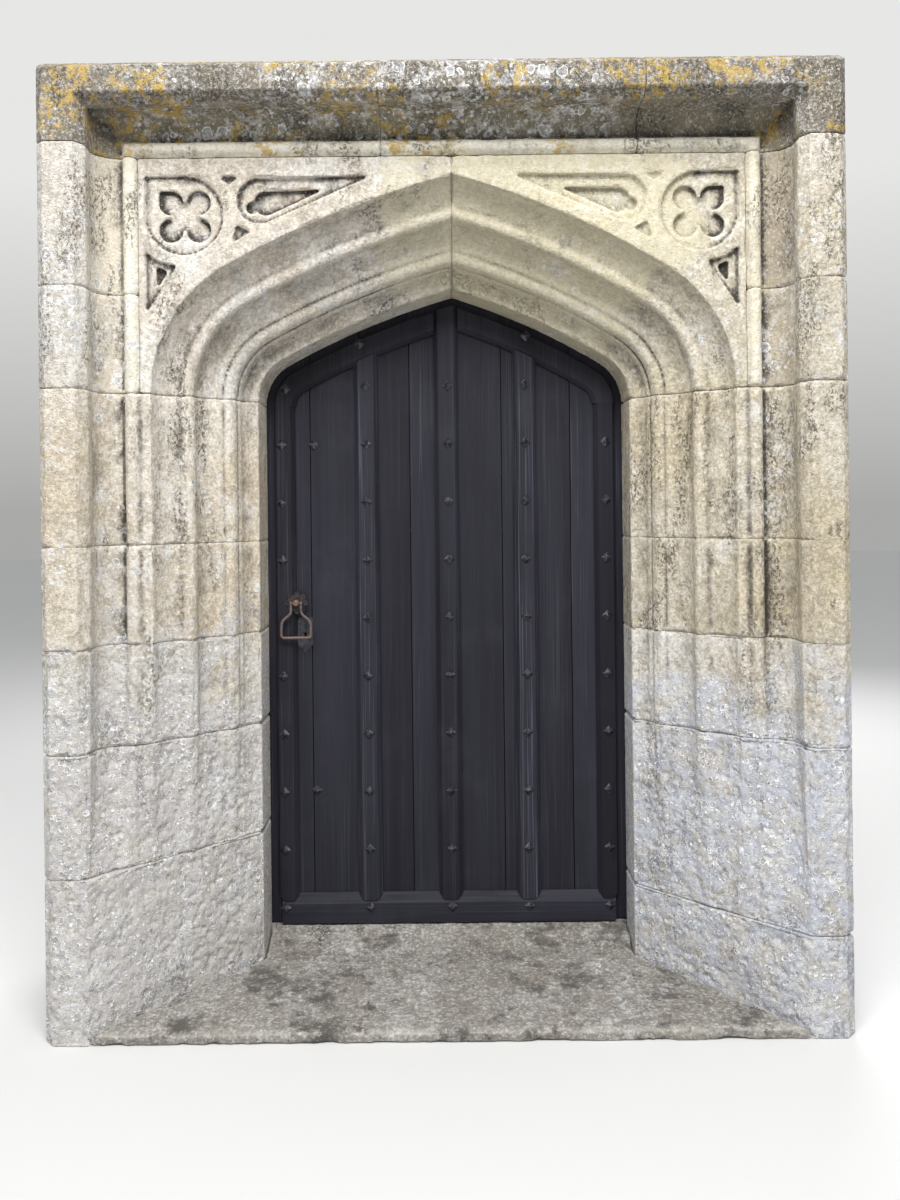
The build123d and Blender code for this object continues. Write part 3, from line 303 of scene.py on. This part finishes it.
    # relief
    pit = put(tree, "ShaderNodeTexVoronoi", {"Vector": where, "Scale": 105.0}).outputs["Distance"]
    pit = ramp(tree, pit, 0.10, 0.34)
    high = sums(tree, "ADD", times(tree, fine, 1.3), times(tree, grain, 0.5))
    high = sums(tree, "ADD", high, times(tree, pit, 0.35))
    high = sums(tree, "ADD", high, times(tree, speckle, 0.5))
    high = sums(tree, "SUBTRACT", high, times(tree, open_pit, 1.4))
    if grown:
        high = sums(tree, "ADD", high, times(tree, rims, 0.9))
    bump = put(tree, "ShaderNodeBump", {"Height": high, "Strength": 0.9, "Distance": 0.0045}).outputs[0]
    rough = ramp(tree, fine, 0.3, 0.7, 0.82, 0.96)
    looks = {"Base Color": own.outputs[0], "Roughness": rough, "Normal": bump}
    face = put(tree, "ShaderNodeBsdfPrincipled", looks)
    face.inputs["Specular IOR Level"].default_value = 0.25
    put(tree, "ShaderNodeOutputMaterial", {"Surface": face.outputs[0]})
    return skin


def spread(tree, value, low, high, to_low=0.0, to_high=1.0):
    ends = {0: value, 1: low, 2: high, 3: to_low, 4: to_high}
    return put(tree, "ShaderNodeMapRange", ends).outputs[0]


def scaled(tree, vector, amount):
    return put(tree, "ShaderNodeVectorMath", {0: vector, "Scale": amount}, operation="SCALE").outputs[0]


def lean(tree, at, out, steps):
    """The way from a point to the mean of its surroundings, and how far that lies outwards."""
    spots = {"Value": at, "Iterations": steps}
    mean = put(tree, "GeometryNodeBlurAttribute", spots, data_type="FLOAT_VECTOR").outputs[0]
    bend = put(tree, "ShaderNodeVectorMath", {0: mean, 1: at}, operation="SUBTRACT").outputs[0]
    return bend, put(tree, "ShaderNodeVectorMath", {0: bend, 1: out}, operation="DOT_PRODUCT").outputs[1]


def noted(tree, stone, name, value):
    """The stone with a value kept on its points for the skin."""
    kept = {"Geometry": stone, "Name": name, "Value": value}
    named = put(tree, "GeometryNodeStoreNamedAttribute", kept, data_type="FLOAT", domain="POINT")
    return named.outputs[0]


def pushed(tree, stone, offset):
    return put(tree, "GeometryNodeSetPosition", {"Geometry": stone, "Offset": offset}).outputs[0]


def weathering():
    """Rounds arrises, hollows the face a little and notes hollows and arrises for the skin."""
    tree = bpy.data.node_groups.new("weathering", "GeometryNodeTree")
    face = tree.interface
    face.new_socket("Stone", in_out="INPUT", socket_type="NodeSocketGeometry")
    for label in (
        "Rounding", "Low rounding", "Low height", "Swell depth", "Swell size",
        "Pit depth", "Pit size", "Kept beds", "Chip depth",
    ):
        face.new_socket(label, in_out="INPUT", socket_type="NodeSocketFloat")
    face.new_socket("Seed", in_out="INPUT", socket_type="NodeSocketInt")
    face.new_socket("Skin", in_out="INPUT", socket_type="NodeSocketMaterial")
    face.new_socket("Stone", in_out="OUTPUT", socket_type="NodeSocketGeometry")
    given = put(tree, "NodeGroupInput").outputs
    at = put(tree, "GeometryNodeInputPosition").outputs[0]
    out = put(tree, "GeometryNodeInputNormal").outputs[0]
    # softening of the arrises, more of it low down
    bend, curl = lean(tree, at, out, 5)
    _, broad = lean(tree, at, out, 36)
    foot = sums(tree, "SUBTRACT", given["Low height"], 0.35)
    low = spread(tree, parts(tree, at)[2], given["Low height"], foot)
    rough = put(tree, "ShaderNodeTexNoise", {"Vector": at, "Scale": 9.0, "Detail": 5.0}).outputs[0]
    rough = spread(tree, rough, 0.35, 0.65, 0.25, 1.0)
    much = times(tree, sums(tree, "MULTIPLY_ADD", low, given["Low rounding"], given["Rounding"]), rough)
    softened = scaled(tree, bend, much)
    # what the skin reads
    stone = noted(tree, given["Stone"], "hollow", spread(tree, curl, 0.0002, 0.0021))
    stone = noted(tree, stone, "arris", spread(tree, curl, -0.0004, -0.0032))
    stone = noted(tree, stone, "shelter", spread(tree, broad, 0.0004, 0.0055))
    drawn = {"ID": 0, "Seed": given["Seed"]}
    chance = put(tree, "FunctionNodeRandomValue", drawn, data_type="FLOAT").outputs[1]
    stone = noted(tree, stone, "tint", chance)
    stone = pushed(tree, stone, softened)
    # swelling and pits, kept off the beds and the joints
    swell = put(tree, "ShaderNodeTexNoise", {"Vector": at, "Scale": given["Swell size"], "Detail": 3.0})
    swell = times(tree, spread(tree, swell.outputs[0], 0.35, 0.75, 0.0, -1.0), given["Swell depth"])
    grain = {"Vector": at, "Scale": given["Pit size"], "Detail": 4.0, "Roughness": 0.6}
    pit = put(tree, "ShaderNodeTexNoise", grain).outputs[0]
    pit = times(tree, spread(tree, pit, 0.50, 0.72, 0.0, -1.0), given["Pit depth"])
    worn = sums(tree, "MULTIPLY_ADD", low, 1.6, 1.0)
    depth = times(tree, sums(tree, "ADD", swell, pit), worn)
    facing = parts(tree, put(tree, "ShaderNodeVectorMath", {0: out}, operation="ABSOLUTE").outputs[0])
    bedded = sums(tree, "MAXIMUM", facing[0], facing[2])
    bedded = spread(tree, bedded, 0.90, 0.985, 0.0, given["Kept beds"])
    depth = times(tree, depth, sums(tree, "SUBTRACT", 1.0, bedded))
    # chipped arrises
    edge = spread(tree, curl, -0.0004, -0.0024)
    chip = {"Vector": at, "Scale": 11.0, "Detail": 6.0, "Roughness": 0.65}
    chip = put(tree, "ShaderNodeTexNoise", chip).outputs[0]
    chip = times(tree, spread(tree, chip, 0.50, 0.60, 0.0, given["Chip depth"]), edge)
    depth = sums(tree, "SUBTRACT", depth, chip)
    stone = pushed(tree, stone, scaled(tree, out, depth))
    stone = put(tree, "GeometryNodeSetShadeSmooth", {"Geometry": stone}).outputs[0]
    stone = put(tree, "GeometryNodeRealizeInstances", {"Geometry": stone}).outputs[0]
    stone = put(tree, "GeometryNodeSetMaterial", {"Geometry": stone, "Material": given["Skin"]}).outputs[0]
    put(tree, "NodeGroupOutput", {0: stone})
    return tree


weather = weathering()


def set_inputs(modifier, values):
    for item in modifier.node_group.interface.items_tree:
        if item.in_out == "INPUT" and item.name in values:
            modifier[item.identifier] = values[item.name]


def settle(obj, name):
    """The object with its modifiers applied, as a plain mesh with its own name."""
    evaluated = obj.evaluated_get(bpy.context.evaluated_depsgraph_get())
    shape = bpy.data.meshes.new_from_object(evaluated)
    obj.modifiers.clear()
    shape.name = name
    made = bpy.data.objects.new(name, shape)
    scene.collection.objects.link(made)
    bpy.data.objects.remove(obj)
    return made


def merged_copy(name):
    """A copy of the solid with the points that its faces share merged."""
    mesh = bmesh.new()
    mesh.from_mesh(solids[name].data)
    bmesh.ops.remove_doubles(mesh, verts=mesh.verts, dist=0.00002)
    shape = bpy.data.meshes.new(name + "_copy")
    mesh.to_mesh(shape)
    mesh.free()
    made = bpy.data.objects.new(name + "_copy", shape)
    scene.collection.objects.link(made)
    return made


KEPT_FACES = 0.36  # share of the faces that thinning leaves


def weathered(
    name, skin, voxel=0.005, rounding=0.10, low_rounding=0.8, swell=0.0020, pit=0.0012, kept_beds=1.0,
):
    """The solid of this name as a worn stone that takes its place."""
    block = merged_copy(name)
    fine = block.modifiers.new("fine", "REMESH")
    fine.mode = "VOXEL"
    fine.voxel_size = voxel
    worn = block.modifiers.new("worn", "NODES")
    worn.node_group = weather
    set_inputs(worn, {
        "Rounding": rounding,
        "Low rounding": low_rounding,
        "Low height": 1.15,
        "Swell depth": swell,
        "Swell size": 7.0,
        "Pit depth": pit,
        "Pit size": 38.0,
        "Kept beds": kept_beds,
        "Chip depth": 0.006,
        "Seed": sum(ord(c) * (i + 3) for i, c in enumerate(name)),
        "Skin": skin,
    })
    fewer = block.modifiers.new("fewer", "DECIMATE")
    fewer.ratio = KEPT_FACES
    stone = settle(block, name + "_stone")
    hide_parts(name)
    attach(stone, "frame")


def reach(name, axis, pick):
    """The least or greatest place of a solid along an axis."""
    solid = solids[name]
    return pick((solid.matrix_world @ v.co)[axis] for v in solid.data.vertices)


# Jambs: five courses a side. The lower three are grey-white with crusts of lichen and worn,
# the upper two cream, with the mouldings still clear.
feet = {
    "left": limestone(
        "limestone_grey", (0.68, 0.65, 0.60), (0.60, 0.55, 0.46), stain=0.20, dirt_and_shade=0.35, crust=0.34,
        grey=0.06, beds=3.0, pitted=0.30, bleach=0.4, grown=1.14, film_tone=(0.52, 0.50, 0.49),
    ),
    "right": limestone(
        "limestone_blue", (0.68, 0.65, 0.60), (0.62, 0.56, 0.46), stain=0.20, dirt_and_shade=0.40, crust=0.34,
        grey=0.06, beds=3.0, shift=(3, 1, 4), pitted=0.35, bleach=0.4, grown=1.12,
        film_tone=(0.48, 0.50, 0.56),
    ),
}
uppers = {
    "left": limestone(
        "limestone_cream", (0.74, 0.69, 0.61), (0.64, 0.55, 0.42), stain=0.22, dirt_and_shade=0.85, crust=0.24,
        grey=0.08, pitted=0.40, bleach=0.3, grown=1.16,
    ),
    "right": limestone(
        "limestone_ochre", (0.64, 0.59, 0.50), (0.59, 0.51, 0.36), stain=0.26, dirt_and_shade=1.0, crust=0.16,
        grey=0.12, shift=(5, 2, 1), pitted=0.62, bleach=0.15, grown=1.14,
    ),
}
for side in ("left", "right"):
    for course in (1, 2, 3):
        weathered(
            f"jamb_{side}_{course}", feet[side], low_rounding=0.9, swell=0.0050, pit=0.0034,
        )
    for course in (4, 5):
        weathered(f"jamb_{side}_{course}", uppers[side])

# Arch heads: two stones that meet at the point, each with half of the moulded arch and its
# carved spandrel. The left one is bleached and spotted, the right one yellower and crisper.
head_left = limestone(
    "limestone_bleached", (0.76, 0.71, 0.64), (0.63, 0.56, 0.47), stain=0.30, dirt_and_shade=1.0, crust=0.30,
    grey=0.12, shift=(1, 6, 2), pitted=0.36, bleach=0.55, mended=(0.03, 2.36, 0.24),
)
head_right = limestone(
    "limestone_yellow", (0.65, 0.60, 0.50), (0.60, 0.53, 0.37), stain=0.24, dirt_and_shade=0.95, crust=0.16,
    grey=0.12, shift=(8, 1, 3), pitted=0.28, bleach=0.30, mended=(0.35, 2.38, 0.42),
)
weathered("arch_head_left", head_left, swell=0.0014, pit=0.0010)
weathered("arch_head_right", head_right, swell=0.0012, pit=0.0008)

# Square head and side stones: square roll, hollow and label round the arch. The label's top
# is dark and crusted, with white and orange lichen.
square_x = reach("side_right_low", 0, min)
square_z = reach("lintel_middle", 2, min)
square_back = reach("lintel_middle", 1, max)
label_dark = limestone(
    "limestone_crusted", (0.20, 0.185, 0.165), (0.145, 0.125, 0.095), stain=0.40, dirt_and_shade=0.8, crust=0.40,
    grey=0.34, orange=1.0, shift=(2, 2, 7), roll=(0.68, 0.64, 0.53), bay=(0.215, 0.190, 0.140),
    pitted=0.6, bleach=0.1,
)
side_skins = {
    "left": limestone(
        "limestone_side", (0.66, 0.64, 0.60), (0.60, 0.54, 0.46), stain=0.28, dirt_and_shade=0.60, crust=0.46,
        grey=0.14, shift=(4, 9, 2), roll=(0.72, 0.68, 0.57), bay=(0.60, 0.54, 0.44),
        pitted=0.55, bleach=0.3,
    ),
    "right": limestone(
        "limestone_side_brown", (0.66, 0.62, 0.55), (0.58, 0.51, 0.38), stain=0.34, dirt_and_shade=0.80, crust=0.40,
        grey=0.14, shift=(1, 4, 7), roll=(0.66, 0.61, 0.48), bay=(0.40, 0.345, 0.26),
        pitted=0.6, bleach=0.2,
    ),
}
for part in ("left", "middle", "right"):
    weathered(f"lintel_{part}", label_dark)
for side in ("left", "right"):
    for part in ("low", "high"):
        weathered(f"side_{side}_{part}", side_skins[side])

# Threshold: pale grey slab between the jamb feet, rubbed smooth in the middle.
slab = limestone(
    "threshold_grey", (0.36, 0.345, 0.33), (0.28, 0.265, 0.245), stain=0.30, dirt_and_shade=0.4, crust=0.04,
    grey=0.55, beds=4.0, pitted=0.15, bleach=0.0,
)
weathered("threshold", slab, voxel=0.010, kept_beds=0.0, pit=0.0008)


# Leaf: oak boards and planted covers under old black paint that has gone matt, with the
# grain showing through along each piece.
def black_oak(name, tone, along, shift, rubbed=0.15):
    skin = bpy.data.materials.new(name)
    skin.use_nodes = True
    tree = skin.node_tree
    tree.nodes.clear()
    where = put(tree, "ShaderNodeTexCoord").outputs["Object"]
    stretch = (0.05, 1, 1) if along == "X" else (1, 1, 0.05)
    drawn_out = (0.006, 1, 1) if along == "X" else (1, 1, 0.006)
    grain = cloud(tree, where, 90, 6.0, 0.65, stretch=stretch, shift=shift)
    broad = cloud(tree, where, 9, 4.0, 0.55, stretch=stretch, shift=shift)
    bloom = cloud(tree, where, 3, 5.0, 0.65, shift=shift)
    dark = [tone * c for c in (0.0105, 0.0103, 0.0160)]
    light = [tone * c for c in (0.0225, 0.0220, 0.0325)]
    dusty = [tone * c for c in (0.040, 0.040, 0.052)]
    colour = mixed(tree, ramp(tree, broad, 0.30, 0.72), dark, light)
    colour = mixed(tree, ramp(tree, grain, 0.56, 0.76, 0.0, 0.45), colour, (0.011, 0.0105, 0.014))
    colour = mixed(tree, ramp(tree, bloom, 0.50, 0.75, 0.0, 0.35), colour, dusty)
    scratch = ramp(tree, cloud(tree, where, 240, 3.0, 0.6, stretch=drawn_out, shift=shift), 0.54, 0.66)
    worn = ramp(tree, cloud(tree, where, 5, 5.0, 0.7, stretch=stretch, shift=(4, 4, 4)), 0.40, 0.60)
    colour = mixed(tree, times(tree, times(tree, scratch, worn), rubbed), colour, (0.16, 0.17, 0.21))
    high = sums(tree, "ADD", times(tree, grain, 1.0), times(tree, broad, 0.6))
    bump = put(tree, "ShaderNodeBump", {"Height": high, "Strength": 0.8, "Distance": 0.0016}).outputs[0]
    rough = ramp(tree, grain, 0.3, 0.7, 0.56, 0.72)
    looks = {"Base Color": colour, "Roughness": rough, "Normal": bump}
    face = put(tree, "ShaderNodeBsdfPrincipled", looks)
    face.inputs["Specular IOR Level"].default_value = 0.22
    put(tree, "ShaderNodeOutputMaterial", {"Surface": face.outputs[0]})
    return skin


def dress(name, skin):
    solids[name].data.materials.clear()
    solids[name].data.materials.append(skin)


UPRIGHT_TONES = ((0.80, 0.12), (1.05, 0.30), (0.95, 0.10))  # how light, and how rubbed
upright_oak = [
    black_oak(f"oak_upright_{i}", tone, "Z", (i * 3.1, i, 0), rubbed)
    for i, (tone, rubbed) in enumerate(UPRIGHT_TONES)
]
level_oak = black_oak("oak_level", 1.1, "X", (0, 2, 5))
for i in range(1, 8):
    dress(f"front_board_{i}", upright_oak[i % 3])
for i in range(1, 12):
    dress(f"back_board_{i}", level_oak)
for name in ("stile_left", "stile_right", "head_left"):
    dress(name, upright_oak[0])
for name in ("muntin_left", "muntin_right"):
    dress(name, upright_oak[1])
for name in ("muntin_middle", "head_right"):
    dress(name, upright_oak[2])
dress("bottom_rail", level_oak)


# Ironwork: forged nails, straps and lock under the same black, worn to a grey sheen on the
# nail heads; the handle and its plates are rusty.
def iron(name, base, high, rust, amount, sheen=0.35):
    skin = bpy.data.materials.new(name)
    skin.use_nodes = True
    tree = skin.node_tree
    tree.nodes.clear()
    where = put(tree, "ShaderNodeTexCoord").outputs["Object"]
    mottle = cloud(tree, where, 70, 6.0, 0.7)
    blotch = cloud(tree, where, 26, 5.0, 0.65, shift=(2, 0, 5))
    colour = mixed(tree, ramp(tree, mottle, 0.35, 0.68), base, high)
    rusty = ramp(tree, blotch, 0.62 - amount * 0.30, 0.72 - amount * 0.30)
    colour = mixed(tree, rusty, colour, rust)
    bump = put(tree, "ShaderNodeBump", {"Height": mottle, "Strength": 0.6, "Distance": 0.0008}).outputs[0]
    rough = ramp(tree, mottle, 0.3, 0.7, 0.62 - 0.4 * sheen, 0.86 - 0.4 * sheen)
    looks = {"Base Color": colour, "Roughness": rough, "Metallic": sheen, "Normal": bump}
    face = put(tree, "ShaderNodeBsdfPrincipled", looks)
    put(tree, "ShaderNodeOutputMaterial", {"Surface": face.outputs[0]})
    return skin


iron_black = iron("iron_black", (0.035, 0.035, 0.040), (0.085, 0.087, 0.100), (0.070, 0.045, 0.032), 0.1)
iron_stud = iron(
    "iron_stud", (0.030, 0.031, 0.040), (0.16, 0.165, 0.20), (0.055, 0.040, 0.034), 0.1, sheen=0.85,
)
iron_plate = iron(
    "iron_plate", (0.009, 0.009, 0.012), (0.060, 0.061, 0.074), (0.030, 0.020, 0.016), 0.1, sheen=0.2,
)
iron_rust = iron("iron_rust", (0.085, 0.066, 0.064), (0.190, 0.155, 0.150), (0.125, 0.066, 0.050), 0.35)
iron_rose = iron(
    "iron_rose", (0.016, 0.014, 0.016), (0.060, 0.048, 0.047), (0.090, 0.045, 0.030), 0.2, sheen=0.4,
)
iron_boss = iron("iron_boss", (0.12, 0.075, 0.060), (0.24, 0.155, 0.120), (0.20, 0.095, 0.060), 0.5)
for name in (
    "strap_low", "strap_high", "hinge_hook_low", "hinge_hook_high", "keeper",
    "lock_case", "lock_screws", "latch_bolt", "lock_bolt",
):
    dress(name, iron_black)
dress("door_nails", iron_stud)
dress("rose_plate", iron_rose)
dress("escutcheon", iron_plate)
dress("handle_spindle", iron_boss)


# Drop ring: a round bar forged to a stirrup with soft corners, thicker in the bow than in its
# two necks, with an eye on each neck that is pinned in the boss.
def forged_bar(curve, route, middle, depth, eye):
    """A bar along points given across and down from the eye, each with its thickness."""
    line = curve.splines.new("NURBS")
    line.points.add(len(route) - 1)
    for point, (across, down, thick) in zip(line.points, route):
        point.co = (middle + across, depth, eye - down, 1.0)
        point.radius = thick
    line.order_u = 3
    line.use_endpoint_u = True


BAR_R, EYE_R, PIN_R, PIN_END = 0.0052, 0.0065, 0.0030, 0.005
NECK = [(0.34, 0.0, 0.80), (0.33, 0.22, 0.80), (0.40, 0.33, 0.9), (0.88, 0.48, 1.0)]
BOW = [(1.0, 0.62, 1.0), (1.0, 0.80, 1.0), (1.0, 1.0, 1.0), (0.55, 1.0, 1.0)]
EYE_SHAPE = [(-0.0055, 0.55), (-0.004, 1.15), (0.004, 1.15), (0.008, 0.6)]
ring_left, ring_right = reach("drop_ring", 0, min), reach("drop_ring", 0, max)
ring_low, ring_high = reach("drop_ring", 2, min), reach("drop_ring", 2, max)
ring_y = 0.5 * (reach("drop_ring", 1, min) + reach("drop_ring", 1, max))
ring_x = 0.5 * (ring_left + ring_right)
ring_eye = ring_high - EYE_R
half = 0.5 * (ring_right - ring_left) - BAR_R
drop = ring_eye - ring_low - BAR_R
neck_x = NECK[0][0] * half
one_side = [(across * half, down * drop, thick) for across, down, thick in NECK + BOW]
other_side = [(-across, down, thick) for across, down, thick in reversed(one_side)]
bar = bpy.data.curves.new("ring_bar", "CURVE")
bar.dimensions = "3D"
bar.bevel_depth = BAR_R
bar.bevel_resolution = 5
bar.resolution_u = 10
bar.use_fill_caps = True
bar.materials.append(iron_rust)
forged_bar(bar, one_side + other_side, ring_x, ring_y, ring_eye)
for way in (-1, 1):
    pin = [(way * PIN_END, 0.0, PIN_R / BAR_R), (way * neck_x, 0.0, PIN_R / BAR_R)]
    forged_bar(bar, pin, ring_x, ring_y, ring_eye)
    forged_bar(bar, [(way * neck_x, *point) for point in EYE_SHAPE], ring_x, ring_y, ring_eye)
ring_curve = bpy.data.objects.new("ring_bar", bar)
scene.collection.objects.link(ring_curve)
stirrup = settle(ring_curve, "drop_ring_forged")
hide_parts("drop_ring")
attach(stirrup, "ring")
